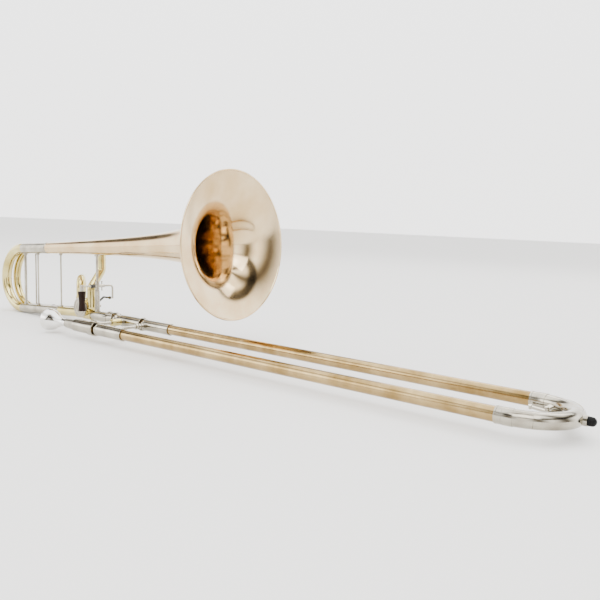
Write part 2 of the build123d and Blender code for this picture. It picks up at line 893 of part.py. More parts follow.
# Short stays that tie the F legs to the bell tail and the neckpipe
upper_stay_u = tail_u + f_upper_stay_gap
lower_stay_u = (neck_start + f_lower_start - f_ferrule_width / 2) / 2
with BuildPart() as f_stays:
    for u, height in ((upper_stay_u, bell_spacing), (lower_stay_u, 0)):
        with BuildSketch(bell_side.offset(-f_offset)):
            with Locations((u, height)):
                Circle(f_stay_radius)
        extrude(amount=f_offset)
        with BuildSketch(bell_across(u, height, f_offset)):
            Circle(f_radius)
        extrude(amount=8, both=True, mode=Mode.SUBTRACT)
    with BuildSketch(bell_across(lower_stay_u)):
        Circle(neck_radius)
    extrude(amount=8, both=True, mode=Mode.SUBTRACT)
    add(bell_core.part, mode=Mode.SUBTRACT)
save(f_stays, "f_stays")

# Lock nut, a collar with four lugs that turns on the receiver
nut_bore = gooseneck_end_radius + nut_clearance
nut_start = receiver_start + 3.5
with BuildPart() as lock_nut:
    with BuildSketch(across(nut_start)):
        Circle(lock_nut_radius - 0.8)
        with PolarLocations(lock_nut_radius - 1.2, 4, start_angle=45):
            Circle(1.9)
        Circle(nut_bore, mode=Mode.SUBTRACT)
    extrude(amount=lock_nut_width)
    for start in (nut_start, nut_start + lock_nut_width - 2):
        with BuildSketch(across(start)):
            Circle(lock_nut_radius - 0.3)
            Circle(nut_bore, mode=Mode.SUBTRACT)
        extrude(amount=2)
save(lock_nut, "lock_nut")

# Tenon of the slide section, seated in the receiver
tenon_radius = receiver_bore - 0.1
tenon = turned(
    slide_side(),
    0,
    [
        (receiver_start + 2, inner_bore),
        (receiver_start + 2, tenon_radius),
        (0.3, tenon_radius),
        (0.3, tenon_flange),
        (0.3 + tenon_flange_width, tenon_flange),
        (0.3 + tenon_flange_width + 2, tenon_radius),
        (barrel_start, tenon_radius),
        (barrel_start, inner_bore),
    ],
)
save(tenon, "slide_tenon")


def leg_bases():
    return (("far", 0.0), ("near", near_y))


# Cork barrels, each closed on its inner tube at the back and beaded at the front
lock_bore = barrel_radius + lock_clearance
bead_radius = lock_bore + lock_ring_wall
barrel_bore = barrel_radius - barrel_wall
barrels = []
for side, y in leg_bases():
    barrels.append(
        turned(
            slide_side(y),
            0,
            [
                (barrel_start, inner_radius),
                (barrel_start, barrel_radius - 1),
                (barrel_start + 1, barrel_radius),
                (barrel_end - bead_width, barrel_radius),
                (barrel_end - bead_width, bead_radius - 0.3),
                (barrel_end - bead_width + 0.3, bead_radius),
                (barrel_end - 0.3, bead_radius),
                (barrel_end, bead_radius - 0.3),
                (barrel_end, barrel_bore),
                (barrel_start + 4, barrel_bore),
                (barrel_start + 4, inner_radius),
            ],
        )
    )
with BuildPart() as cork_barrels:
    for piece in barrels:
        add(piece.part)
save(cork_barrels, "cork_barrels")

# Felt bumpers at the bottom of the barrels
with BuildPart() as corks:
    for side, y in leg_bases():
        with BuildSketch(across(tube_start - cork_gap - cork_length, y)):
            Circle(barrel_bore)
            Circle(inner_radius, mode=Mode.SUBTRACT)
        extrude(amount=cork_length)
save(corks, "barrel_corks")

# Inner tubes, with the thicker stockings that the outer tubes run on
with BuildPart() as inner_tubes:
    for side, y in leg_bases():
        with BuildSketch(across(barrel_start, y)):
            Circle(inner_radius)
            Circle(inner_bore, mode=Mode.SUBTRACT)
        extrude(amount=inner_tip_x - barrel_start)
save(inner_tubes, "inner_tubes")
with BuildPart() as stockings:
    for side, y in leg_bases():
        with BuildSketch(across(inner_tip_x - stocking_length, y)):
            Circle(stocking_radius)
            Circle(inner_radius, mode=Mode.SUBTRACT)
        extrude(amount=stocking_length)
save(stockings, "stockings")

# Mouthpiece receiver, flaring to the near barrel
receiver_taper_end = shank_tip_radius + shank_clearance
receiver_taper_mouth = shank_tip_radius + (shank_radius - shank_tip_radius) * 0.8 + shank_clearance
receiver_rear = receiver_x
mouth_receiver = turned(
    slide_side(near_y),
    0,
    [
        (receiver_rear, receiver_taper_mouth),
        (receiver_rear, receiver_mouth_radius - 0.6),
        (receiver_rear + 0.8, receiver_mouth_radius),
        (receiver_rear + 3.0, receiver_mouth_radius),
        (receiver_rear + 4.0, receiver_mouth_radius + 0.4),
        (barrel_start, barrel_radius - 1),
        (barrel_start, inner_bore),
        (receiver_rear + shank_insert + 2, inner_bore - 1.2),
        (receiver_rear + shank_insert + 2, receiver_taper_end),
    ],
)
save(mouth_receiver, "mouthpiece_receiver")


def leg_cores(x, radius):
    # The space that the two slide legs take, for saddling a cross brace on them.
    with BuildPart() as cores:
        for side, y in leg_bases():
            with BuildSketch(across(x, y)):
                Circle(radius)
            extrude(amount=radius, both=True)
    return cores


# Brace of the inner slide: a tube, a brass collar and a silver foot
barrel_cores = leg_cores(inner_brace_x, barrel_radius)
with BuildPart() as inner_brace:
    with BuildSketch(slide_side(0)):
        with Locations((inner_brace_x, 0)):
            Circle(inner_brace_radius)
    extrude(amount=slide_spacing)
    for length, near in ((barrel_radius + 2.5, 0), (slide_spacing, slide_spacing - barrel_radius - 2.5)):
        with BuildSketch(slide_side(-near)):
            with Locations((inner_brace_x, 0)):
                Circle(inner_brace_radius + 1.4)
        extrude(amount=length - near)
    add(barrel_cores.part, mode=Mode.SUBTRACT)
save(inner_brace, "inner_brace")
with BuildPart() as collar:
    with BuildSketch(slide_side(-collar_far)):
        with Locations((inner_brace_x, 0)):
            Circle(collar_radius)
            Circle(inner_brace_radius, mode=Mode.SUBTRACT)
    extrude(amount=collar_near - collar_far)
    fillet(collar.edges().filter_by(GeomType.CIRCLE).group_by(SortBy.RADIUS)[-1], 0.8)
save(collar, "inner_brace_collar")

# Slide lock: a ring with a lug that turns on the near barrel, behind its bead
lock_start = barrel_end - bead_width - 0.2 - lock_ring_width
with BuildPart() as lock_ring:
    with BuildSketch(across(lock_start, near_y)):
        Circle(bead_radius)
        with PolarLocations(bead_radius, 1, start_angle=90):
            Circle(lock_ring_lug / 2)
        Circle(lock_bore, mode=Mode.SUBTRACT)
    extrude(amount=lock_ring_width)
save(lock_ring, "slide_lock_ring")

# Outer slide tubes
for side, y in leg_bases():
    save(ring(across(tube_start, y), tube_radius, outer_bore, crook_x - tube_start), f"outer_tube_{side}")


def banded(start, end, thickness, band, lip):
    # Tubes on both slide legs with a raised band at each end.
    pieces = []
    outside = tube_radius + thickness
    for side, y in leg_bases():
        outline = [
            (start, tube_radius),
            (start, outside + lip),
            (start + band, outside + lip),
            (start + band + 0.4, outside),
            (end - band - 0.4, outside),
            (end - band, outside + lip),
            (end, outside + lip),
            (end, tube_radius),
        ]
        pieces.append(turned(slide_side(y), 0, outline))
    with BuildPart() as pair:
        for piece in pieces:
            add(piece.part)
    return pair


sleeve_end = sleeve_start + outer_sleeve_length
sleeves = banded(sleeve_start, sleeve_end, outer_sleeve_wall, sleeve_band, sleeve_lip)
save(sleeves, "outer_sleeves")
ferrules = banded(crook_x - ferrule_length, crook_x, ferrule_wall, ferrule_band, ferrule_lip)
save(ferrules, "lower_ferrules")

# Hand brace of the outer slide, with turned flanges
sleeve_cores = leg_cores(hand_brace_x, sleeve_radius)
with BuildPart() as hand_brace:
    with BuildSketch(slide_side(0)):
        with Locations((hand_brace_x, 0)):
            Circle(hand_brace_radius)
    extrude(amount=slide_spacing)
    for start in (0, slide_spacing - sleeve_radius - hand_flange_length):
        with BuildSketch(slide_side(-start)):
            with Locations((hand_brace_x, 0)):
                Circle(hand_flange_radius - 0.9)
        extrude(amount=hand_flange_length + sleeve_radius)
    for edge in (0, 5.5, 11, hand_flange_length - 2.5):
        for start in (sleeve_radius + edge, slide_spacing - sleeve_radius - edge - 2.5):
            with BuildSketch(slide_side(-start)):
                with Locations((hand_brace_x, 0)):
                    Circle(hand_flange_radius)
            extrude(amount=2.5)
    add(sleeve_cores.part, mode=Mode.SUBTRACT)
save(hand_brace, "hand_brace")

# Crook at the end of the slide
crook_centre_y = near_y / 2
crook_axis = Axis((crook_x, crook_centre_y, 0), (0, 0, 1))
with BuildPart() as crook:
    with BuildLine(Plane.XY) as crook_route:
        CenterArc((crook_x, crook_centre_y), crook_arc, 90, -180)
    with BuildSketch(Plane(origin=crook_route.line @ 0, z_dir=crook_route.line % 0)):
        Circle(crook_radius)
        Circle(crook_radius - crook_wall, mode=Mode.SUBTRACT)
    sweep(path=crook_route.line)
    for leg_y, way in ((0, -1), (near_y, 1)):
        with BuildSketch(across(crook_x, leg_y)):
            Circle(crook_radius + collar_wall)
            Circle(crook_radius, mode=Mode.SUBTRACT)
        revolve(axis=crook_axis, revolution_arc=way * collar_arc)
save(crook, "crook")

# Guard strip round the outside of the crook, and the tip's ring and rubber
guard_end = math.radians(90 - guard_arc)
guard_plane = Plane(
    origin=(crook_x, crook_centre_y, 0),
    x_dir=(math.sin(guard_end), math.cos(guard_end), 0),
    z_dir=(-math.cos(guard_end), math.sin(guard_end), 0),
)
guard_reach = (crook_radius + guard_wall) * 2
guard_half = guard_reach * math.tan(math.radians(guard_spread))
with BuildPart() as guard:
    with BuildSketch(guard_plane):
        with Locations((crook_arc, 0)):
            Circle(crook_radius + guard_wall)
            Circle(crook_radius, mode=Mode.SUBTRACT)
        with BuildLine():
            Polyline(
                (crook_arc, 0),
                (crook_arc + guard_reach, guard_half),
                (crook_arc + guard_reach, -guard_half),
                close=True,
            )
        make_face(mode=Mode.INTERSECT)
    revolve(axis=crook_axis, revolution_arc=-2 * guard_arc)
save(guard, "crook_guard")
tip_x = crook_x + crook_arc + crook_radius + guard_wall
crook_core = Solid.make_torus(crook_arc, crook_radius + guard_wall, Plane((crook_x, crook_centre_y, 0)))
with BuildPart() as tip_ring:
    with BuildSketch(across(tip_x - tip_ring_radius / 2, crook_centre_y)):
        Circle(tip_ring_radius)
    extrude(amount=tip_ring_length + tip_ring_radius / 2)
    add(crook_core, mode=Mode.SUBTRACT)
save(tip_ring, "tip_ring")
with BuildPart() as tip:
    with BuildSketch(across(tip_x + tip_ring_length, crook_centre_y)):
        Circle(tip_radius)
    extrude(amount=tip_length)
    fillet(tip.edges().filter_by(GeomType.CIRCLE).sort_by(Axis.X)[-1], tip_round)
save(tip, "rubber_tip")

# Water key on the inside of the crook: a nipple, two posts, a lever on a screw, and its pad.
# It is drawn on a plane through the far leg's axis that leans down on the inner side.
key_roll = math.radians(key_lean)
key_plane = Plane(origin=(0, 0, 0), x_dir=(1, 0, 0), z_dir=(0, -math.sin(key_roll), math.cos(key_roll)))
inside_core = Solid.make_torus(crook_arc, crook_radius, Plane((crook_x, crook_centre_y, 0)))


def in_crook(angle, stand_off):
    # A point inside the crook, round from its far end and in from its surface.
    turn = math.radians(angle)
    radius = crook_arc - crook_radius - stand_off
    return (crook_x + radius * math.sin(turn), crook_centre_y + radius * math.cos(turn))


nipple_turn = math.radians(key_nipple_angle)


def on_nipple(height):
    # A plane square to the nipple, this far in from the crook.
    x, y = in_crook(key_nipple_angle, height)
    return Plane(
        origin=key_plane.from_local_coords((x, y, 0)),
        x_dir=key_plane.z_dir,
        z_dir=key_plane.from_local_coords((-math.sin(nipple_turn), -math.cos(nipple_turn), 0)),
    )


hinge = in_crook(key_hinge_angle, key_stand_off)
pad_top = in_crook(key_nipple_angle, key_nipple_height + key_pad_height + 1.0)
tail = (crook_x - key_tail_reach, -(tube_radius + ferrule_wall + key_tail_gap + key_lever_half))
post_foot = in_crook(key_hinge_angle, -key_depth)
with BuildPart() as key_mounts:
    with BuildSketch(on_nipple(-key_depth)):
        Circle(key_nipple_radius)
        Circle(key_nipple_radius - 1, mode=Mode.SUBTRACT)
    extrude(amount=key_depth + key_nipple_height)
    for side in (-1, 1):
        with BuildSketch(key_plane.offset(side * (key_post_gap / 2 + key_post_half))):
            with Locations(((hinge[0] + post_foot[0]) / 2, (hinge[1] + post_foot[1]) / 2)):
                Rectangle(4.6, key_stand_off + key_depth, rotation=-key_hinge_angle)
            with Locations(hinge):
                Circle(2.3)
                Circle(key_pin_radius, mode=Mode.SUBTRACT)
        extrude(amount=key_post_half, both=True)
    add(inside_core, mode=Mode.SUBTRACT)
save(key_mounts, "key_mounts")
with BuildPart() as key_screw:
    pin_half = key_post_gap / 2 + key_post_half * 2
    with BuildSketch(key_plane):
        with Locations(hinge):
            Circle(key_pin_radius)
    extrude(amount=pin_half, both=True)
    for side in (-1, 1):
        with BuildSketch(key_plane.offset(side * (pin_half + 0.5))):
            with Locations(hinge):
                Circle(key_pin_radius + 0.8)
        extrude(amount=0.5, both=True)
save(key_screw, "key_screw")
with BuildPart() as pad:
    with BuildSketch(on_nipple(key_nipple_height)):
        Circle(key_pad_radius)
    extrude(amount=key_pad_height)
save(pad, "key_pad")
with BuildPart() as key:
    with BuildSketch(on_nipple(key_nipple_height + key_pad_height)):
        Circle(key_pad_radius + 0.4)
    extrude(amount=1.3)
    with BuildSketch(key_plane):
        for start, end in ((pad_top, hinge), (hinge, tail)):
            run = math.dist(start, end)
            angle = math.degrees(math.atan2(end[1] - start[1], end[0] - start[0]))
            with Locations(((start[0] + end[0]) / 2, (start[1] + end[1]) / 2)):
                Rectangle(run, key_lever_half * 2, rotation=angle)
        with Locations(tail):
            Circle(key_lever_half)
        with Locations(hinge):
            Circle(key_barrel_radius)
    extrude(amount=key_lever_half * 1.3, both=True)
    with BuildSketch(key_plane):
        with Locations(hinge):
            Circle(key_barrel_radius)
    extrude(amount=key_post_gap / 2 - 0.3, both=True)
    with BuildSketch(key_plane):
        with Locations(tail):
            Circle(key_disc_radius)
    extrude(amount=key_lever_half * 2, both=True)
    with BuildSketch(on_nipple(key_nipple_height + key_pad_height)):
        Circle(key_pad_radius + 0.4)
    extrude(amount=-key_pad_height, mode=Mode.SUBTRACT)
    with BuildSketch(key_plane):
        with Locations(hinge):
            Circle(key_pin_radius + key_clearance)
    extrude(amount=key_post_gap, both=True, mode=Mode.SUBTRACT)
save(key, "water_key")

# Mouthpiece, turned inside and out
cup_end = mouthpiece_rim_x + cup_depth
shank_end = receiver_rear + shank_insert
side = slide_side(near_y)
with BuildPart() as mouthpiece:
    with BuildSketch(side):
        with BuildLine():
            rim = ThreePointArc(
                (mouthpiece_rim_x + 1.8, cup_radius),
                (mouthpiece_rim_x, (cup_radius + mouthpiece_rim_radius) / 2),
                (mouthpiece_rim_x + 2.4, mouthpiece_rim_radius),
            )
            shell = Spline(
                rim @ 1,
                (mouthpiece_rim_x + 14, mouthpiece_rim_radius - 2.2),
                (cup_end + 3, shank_radius + 4.4),
                (shank_start, shank_radius + 0.3),
                tangents=((1, 0), (1, -0.05)),
            )
            Polyline(
                shell @ 1,
                (shank_end, shank_tip_radius),
                (shank_end, shank_bore + 0.8),
                (cup_end + 6, throat_radius),
            )
            bowl = Spline(
                (cup_end + 6, throat_radius),
                (cup_end - 6, throat_radius + 5),
                rim @ 0,
            )
        make_face()
    revolve(axis=Axis((0, near_y, 0), (1, 0, 0)))
save(mouthpiece, "mouthpiece")
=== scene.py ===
import bpy
import json
import math
from mathutils import Matrix, Vector


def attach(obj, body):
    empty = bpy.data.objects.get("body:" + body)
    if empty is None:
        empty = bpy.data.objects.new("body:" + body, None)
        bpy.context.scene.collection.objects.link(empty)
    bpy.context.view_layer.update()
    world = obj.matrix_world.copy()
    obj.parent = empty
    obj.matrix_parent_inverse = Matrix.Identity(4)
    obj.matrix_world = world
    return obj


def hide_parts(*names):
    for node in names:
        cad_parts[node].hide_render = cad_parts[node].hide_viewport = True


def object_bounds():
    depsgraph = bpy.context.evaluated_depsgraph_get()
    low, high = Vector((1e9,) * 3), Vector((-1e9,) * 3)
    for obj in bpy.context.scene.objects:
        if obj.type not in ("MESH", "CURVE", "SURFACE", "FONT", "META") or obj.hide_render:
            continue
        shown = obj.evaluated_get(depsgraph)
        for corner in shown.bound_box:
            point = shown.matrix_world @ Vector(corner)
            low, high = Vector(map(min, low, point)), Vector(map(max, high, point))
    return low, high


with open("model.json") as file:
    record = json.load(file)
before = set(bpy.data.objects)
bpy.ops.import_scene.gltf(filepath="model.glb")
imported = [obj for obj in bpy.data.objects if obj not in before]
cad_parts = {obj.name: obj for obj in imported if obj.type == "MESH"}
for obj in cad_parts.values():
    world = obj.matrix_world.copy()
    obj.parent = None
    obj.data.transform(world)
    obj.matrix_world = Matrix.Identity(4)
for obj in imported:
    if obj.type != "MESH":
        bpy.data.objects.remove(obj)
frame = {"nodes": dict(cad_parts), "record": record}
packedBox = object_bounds()
print("frame loaded")


def toLinear(hexColour):
    # An sRGB hex colour as linear red, green, blue and alpha.
    values = [int(hexColour[i:i + 2], 16) / 255 for i in (1, 3, 5)]
    return [v / 12.92 if v <= 0.04045 else ((v + 0.055) / 1.055) ** 2.4 for v in values] + [1.0]


def addNode(tree, kind, inputs=None, **settings):
    # A node with its settings; an input is a value, or another node's output to link.
    node = tree.nodes.new(kind)
    for key, value in settings.items():
        setattr(node, key, value)
    for key, value in (inputs or {}).items():
        if isinstance(value, bpy.types.NodeSocket):
            tree.links.new(value, node.inputs[key])
        else:
            node.inputs[key].default_value = value
    return node


# Camera
cameraSettings = {
    "place": (0.93807, -0.76667, 0.17085),
    "right": (0.740901, 0.670216, 0.043309),
    "up": (-0.091599, 0.036956, 0.99511),
    "back": (0.665338, -0.741245, 0.088772),
    "lens": 42.908,
    "sensor": 36,
    "shift": (0.11825, -0.02248),
    "farEnd": 60,
}
bpy.ops.object.select_all(action="DESELECT")
bpy.ops.object.camera_add(location=cameraSettings["place"])
camera = bpy.context.object
camera.data.sensor_width = cameraSettings["sensor"]
camera.data.lens = cameraSettings["lens"]
camera.data.shift_x, camera.data.shift_y = cameraSettings["shift"]
camera.data.clip_end = cameraSettings["farEnd"]
turn = Matrix([cameraSettings[side] for side in ("right", "up", "back")]).transposed()
camera.matrix_world = Matrix.Translation(cameraSettings["place"]) @ turn.to_4x4()
bpy.context.scene.camera = camera
print("camera placed")

# Floor and light
studio = {
    "floor": "#f7f6f4",
    "floorSize": 60.0,
    "floorMiddle": (0.3, 0),
    "floorGap": 0.0005,
    "floorRoughness": 0.9,
    "lampTarget": (0.2, 0, 0.1),
    "domeStrength": 3.7,
    "domeBands": (
        (0.0, "#f1f0ef"),
        (0.42, "#f6f6f6"),
        (0.5, "#35322e"),
        (0.62, "#4b4843"),
        (0.76, "#ffffff"),
    ),
    "domeSides": (
        (0.0, "#ffffff"),
        (0.14, "#ffffff"),
        (0.22, "#4a453d"),
        (0.30, "#ffffff"),
        (0.385, "#544f46"),
        (0.46, "#ffffff"),
        (0.54, "#4a453d"),
        (0.62, "#ffffff"),
    ),
}
floorHeight = packedBox[0][2] - studio["floorGap"]
bpy.ops.mesh.primitive_plane_add(size=studio["floorSize"], location=(*studio["floorMiddle"], floorHeight))
floor = bpy.context.object
floor.name = "floor"
floorMaterial = bpy.data.materials.new("paintedStudioFloor")
floorMaterial.use_nodes = True
floorShader = floorMaterial.node_tree.nodes["Principled BSDF"]
floorShader.inputs["Base Color"].default_value = toLinear(studio["floor"])
floorShader.inputs["Roughness"].default_value = studio["floorRoughness"]
floor.data.materials.append(floorMaterial)

world = bpy.data.worlds.new("studioDome")
bpy.context.scene.world = world
world.use_nodes = True
dome = world.node_tree
dome.nodes.clear()
direction = addNode(dome, "ShaderNodeTexCoord")
split = addNode(dome, "ShaderNodeSeparateXYZ", {0: direction.outputs["Generated"]})
around = addNode(dome, "ShaderNodeTexGradient", {0: direction.outputs["Generated"]}, gradient_type="RADIAL")
# Soft bands of tone, up and around, for the metal to reflect
ramps = {}
for bands, source in (("domeBands", split.outputs[2]), ("domeSides", around.outputs[1])):
    ramp = addNode(dome, "ShaderNodeValToRGB", {0: source})
    ramp.color_ramp.interpolation = "EASE"
    marks = ramp.color_ramp.elements
    while len(marks) < len(studio[bands]):
        marks.new(0.5)
    for mark, (position, colour) in zip(marks, studio[bands]):
        mark.position = position
        mark.color = toLinear(colour)
    ramps[bands] = ramp.outputs[0]
# In a colour mix, inputs 6 and 7 are the two colours and output 2 is the result
tone = addNode(
    dome,
    "ShaderNodeMix",
    {0: 1.0, 6: ramps["domeBands"], 7: ramps["domeSides"]},
    data_type="RGBA",
    blend_type="MULTIPLY",
)
sky = addNode(dome, "ShaderNodeBackground", {0: tone.outputs[2], 1: studio["domeStrength"]})
addNode(dome, "ShaderNodeOutputWorld", {0: sky.outputs[0]})

lamps = {
    "keyPanel": {"place": (1.6, -2.2, 3.0), "size": (3.2, 2.4), "power": 120},
    "fillPanel": {"place": (-2.0, -2.8, 1.6), "size": (2.6, 2.2), "power": 42},
    "rimPanel": {"place": (0.2, 2.6, 2.6), "size": (3.4, 1.4), "power": 56},
}
for name, lamp in lamps.items():
    bpy.ops.object.light_add(type="AREA", location=lamp["place"])
    light = bpy.context.object
    light.name = name
    light.data.shape = "RECTANGLE"
    light.data.size, light.data.size_y = lamp["size"]
    light.data.energy = lamp["power"]
    aim = Vector(studio["lampTarget"]) - Vector(lamp["place"])
    light.rotation_euler = aim.to_track_quat("-Z", "Y").to_euler()
print("floor and light placed")


def startMaterial(name):
    material = bpy.data.materials.new(name)
    material.use_nodes = True
    tree = material.node_tree
    return material, tree, tree.nodes["Principled BSDF"], addNode(tree, "ShaderNodeTexCoord")


def polishedMetal(name, light, deep, roughness, spotSize, lacquer, handling=0.07):
    # Cloudy tone between two colours, a little smear in the gloss, and a very faint surface wave.
    material, tree, shader, place = startMaterial(name)
    cloud = addNode(
        tree,
        "ShaderNodeTexNoise",
        {"Vector": place.outputs["Object"], "Scale": 1000 / spotSize, "Detail": 4.0},
    )
    tint = addNode(tree, "ShaderNodeMapRange", {0: cloud.outputs[0], 1: 0.35, 2: 0.7})
    colour = addNode(
        tree,
        "ShaderNodeMix",
        {0: tint.outputs[0], 6: toLinear(light), 7: toLinear(deep)},
        data_type="RGBA",
    )
    smear = addNode(
        tree,
        "ShaderNodeTexNoise",
        {
            "Vector": place.outputs["Object"],
            "Scale": 1000 / (spotSize * 0.35),
            "Detail": 6.0,
            "Roughness": 0.6,
        },
    )
    gloss = addNode(
        tree,
        "ShaderNodeMapRange",
        {0: smear.outputs[0], 1: 0.3, 2: 0.75, 3: roughness, 4: roughness + handling},
    )
    bump = addNode(tree, "ShaderNodeBump", {"Height": smear.outputs[0], "Strength": 0.03, "Distance": 0.0004})
    tree.links.new(colour.outputs[2], shader.inputs["Base Color"])
    tree.links.new(gloss.outputs[0], shader.inputs["Roughness"])
    tree.links.new(bump.outputs[0], shader.inputs["Normal"])
    shader.inputs["Metallic"].default_value = 1.0
    shader.inputs["Coat Weight"].default_value = lacquer
    shader.inputs["Coat Roughness"].default_value = 0.05
    return material


# Rose brass, spun and lacquered: champagne gold outside, amber where it reflects itself in the throat
roseBrass = polishedMetal("spunRoseBrass", "#e3caa0", "#c6a572", 0.1, 60, 0.25)
# Yellow brass, bent and lacquered: greener and paler gold than the bell
yellowBrass = polishedMetal("bentYellowBrass", "#dacb8c", "#b5a15b", 0.1, 40, 0.25)
# Drawn slide brass: warm gold, lightly smeared by the hand
slideBrass = polishedMetal("drawnSlideBrass", "#b49a6a", "#876c3a", 0.12, 30, 0.2, 0.1)
# Nickel silver, buffed: a warm grey, softer than plate
nickelSilver = polishedMetal("buffedNickelSilver", "#bab4a5", "#928b7c", 0.13, 25, 0.05)
# Silver plate: nearly white and the sharpest gloss on the instrument
silverPlate = polishedMetal("silverPlate", "#f2f1ee", "#dedcd6", 0.06, 25, 0.0, 0.04)
# Hard chrome on the inner slide, honed: cool and clean
honedChrome = polishedMetal("honedChrome", "#dfe2e5", "#cfd3d8", 0.08, 30, 0.0, 0.05)
# Blackened spring steel: dark, with a dull sheen
darkSteel = polishedMetal("blackenedSteel", "#5b5853", "#34322f", 0.3, 12, 0.0, 0.15)


woodSettings = {
    "dark": "#0e0603",
    "pale": "#26130a",
    "grainScale": 900.0,
    "grainStretch": (1.0, 1.0, 0.12),
    "roughness": 0.42,
    "shine": 0.12,
    "oil": 0.02,
    "oilRoughness": 0.2,
}


def oiledWood():
    # Oiled dark hardwood, turned: straight dark brown grain with hardly any shine.
    wood = woodSettings
    material, tree, shader, place = startMaterial("oiledRosewood")
    grainPlace = addNode(tree, "ShaderNodeMapping", {0: place.outputs["Object"], 3: wood["grainStretch"]})
    grain = addNode(
        tree,
        "ShaderNodeTexNoise",
        {"Vector": grainPlace.outputs[0], "Scale": wood["grainScale"], "Detail": 6.0, "Roughness": 0.6},
    )
    colour = addNode(
        tree,
        "ShaderNodeMix",
        {0: grain.outputs[0], 6: toLinear(wood["dark"]), 7: toLinear(wood["pale"])},
        data_type="RGBA",
    )
    bump = addNode(tree, "ShaderNodeBump", {"Height": grain.outputs[0], "Strength": 0.15, "Distance": 0.0003})
    tree.links.new(colour.outputs[2], shader.inputs["Base Color"])
    tree.links.new(bump.outputs[0], shader.inputs["Normal"])
    shader.inputs["Roughness"].default_value = wood["roughness"]
    shader.inputs["Specular IOR Level"].default_value = wood["shine"]
    shader.inputs["Coat Weight"].default_value = wood["oil"]
    shader.inputs["Coat Roughness"].default_value = wood["oilRoughness"]
    return material


def grainy(name, dark, pale, roughness, grit, depth):
    # A matt material with a fine grain of the given size in millimetres.
    material, tree, shader, place = startMaterial(name)
    grain = addNode(
        tree, "ShaderNodeTexNoise", {"Vector": place.outputs["Object"], "Scale": 1000 / grit, "Detail": 5.0}
    )
    colour = addNode(
        tree,
        "ShaderNodeMix",
        {0: grain.outputs[0], 6: toLinear(dark), 7: toLinear(pale)},
        data_type="RGBA",
    )
    bump = addNode(tree, "ShaderNodeBump", {"Height": grain.outputs[0], "Strength": 0.4, "Distance": depth})
    tree.links.new(colour.outputs[2], shader.inputs["Base Color"])
    tree.links.new(bump.outputs[0], shader.inputs["Normal"])
    shader.inputs["Roughness"].default_value = roughness
    shader.inputs["Specular IOR Level"].default_value = 0.12
    return material


rosewood = oiledWood()
# Moulded rubber: near black, with a faint grit that breaks the highlight
mouldedRubber = grainy("mouldedRubber", "#040404", "#101010", 0.5, 0.8, 0.0001)
# Natural cork: tan with darker pores
cutCork = grainy("cutCork", "#7a5a3c", "#c39a6d", 0.85, 0.9, 0.0002)
# Pressed felt: dark and fibrous
pressedFelt = grainy("pressedFelt", "#1c1a18", "#4a443d", 0.95, 0.5, 0.0002)

slotMaterials = {
    "rose_brass": roseBrass,
    "yellow_brass": yellowBrass,
    "slide_brass": slideBrass,
    "nickel_silver": nickelSilver,
    "silver_plate": silverPlate,
    "slide_chrome": honedChrome,
    "dark_steel": darkSteel,
    "dark_wood": rosewood,
    "black_rubber": mouldedRubber,
    "cork": cutCork,
    "felt": pressedFelt,
}
nodeSlots = {row["node"]: row["material_slot"] for row in frame["record"]["subparts"]}
nodeBodies = {node: body for body, nodes in frame["record"]["behaviour"]["bodies"].items() for node in nodes}
for name, node in frame["nodes"].items():
    node.data.materials.clear()
    node.data.materials.append(slotMaterials[nodeSlots[name]])
print("materials given to", len(frame["nodes"]), "pieces")

# Sizes that several pieces share, in millimetres and degrees
shared = {"tilt": 3.7, "bend": (-106.0, 0.0, 0.0), "bellHeight": 115.5, "nearSide": -94.4}


def axisFrame(tilted, height, side, start=(0.0, 0.0, 0.0)):
    # Local Z runs along the tube, local X points up and local Y across; start is in millimetres.
    lean = math.radians(shared["tilt"]) if tilted else 0.0
    along = Vector((math.cos(lean), 0, math.sin(lean)))
    upward = Vector((-math.sin(lean), 0, math.cos(lean)))
    acrossWay = Vector((0, -1, 0))
    place = Vector(start) + upward * height + Vector((0, side, 0))
    turn = Matrix((upward, acrossWay, along)).transposed().to_4x4()
    return Matrix.Translation(place / 1000) @ turn


def turnOnLathe(name, outline, place, segments=96):
    # A turned piece: a circle drawn out along its axis from station to station, (along, radius) in mm.
    bpy.ops.object.select_all(action="DESELECT")
    firstZ, firstRadius = outline[0]
    bpy.ops.mesh.primitive_circle_add(vertices=segments, radius=firstRadius / 1000)
    piece = bpy.context.object
    piece.name = name
    bpy.ops.object.mode_set(mode="EDIT")
    bpy.ops.mesh.select_all(action="SELECT")
    bpy.ops.transform.translate(value=(0, 0, firstZ / 1000))
    for (z, radius), (nextZ, nextRadius) in zip(outline, outline[1:]):
        bpy.ops.mesh.extrude_edges_move(TRANSFORM_OT_translate={"value": (0, 0, (nextZ - z) / 1000)})
        size = nextRadius / radius
        bpy.ops.transform.resize(value=(size, size, 1), center_override=(0, 0, nextZ / 1000))
    finishMesh(piece, place)
    return piece


def finishMesh(piece, place, angle=35, weld=0.00002):
    # Welds the doubled points, turns the faces outward and moves the mesh to its place.
    bpy.ops.mesh.select_all(action="SELECT")
    bpy.ops.mesh.remove_doubles(threshold=weld)
    bpy.ops.mesh.normals_make_consistent(inside=False)
    bpy.ops.object.mode_set(mode="OBJECT")
    piece.data.transform(place)
    bpy.ops.object.shade_smooth_by_angle(angle=math.radians(angle))


def smoothLine(points, steps=8):
    # A smooth line through the points, each span divided into steps.
    ends = [points[0]] + list(points) + [points[-1]]
    line = []
    for a, b, c, d in zip(ends, ends[1:], ends[2:], ends[3:]):
        for k in range(steps):
            t = k / steps
            line.append(
                tuple(
                    0.5
                    * (
                        2 * q
                        + (r - p) * t
                        + (2 * p - 5 * q + 4 * r - o) * t * t
                        + (3 * q - p - 3 * r + o) * t ** 3
                    )
                    for p, q, r, o in zip(a, b, c, d)
                )
            )
    line.append(tuple(points[-1]))
    return line


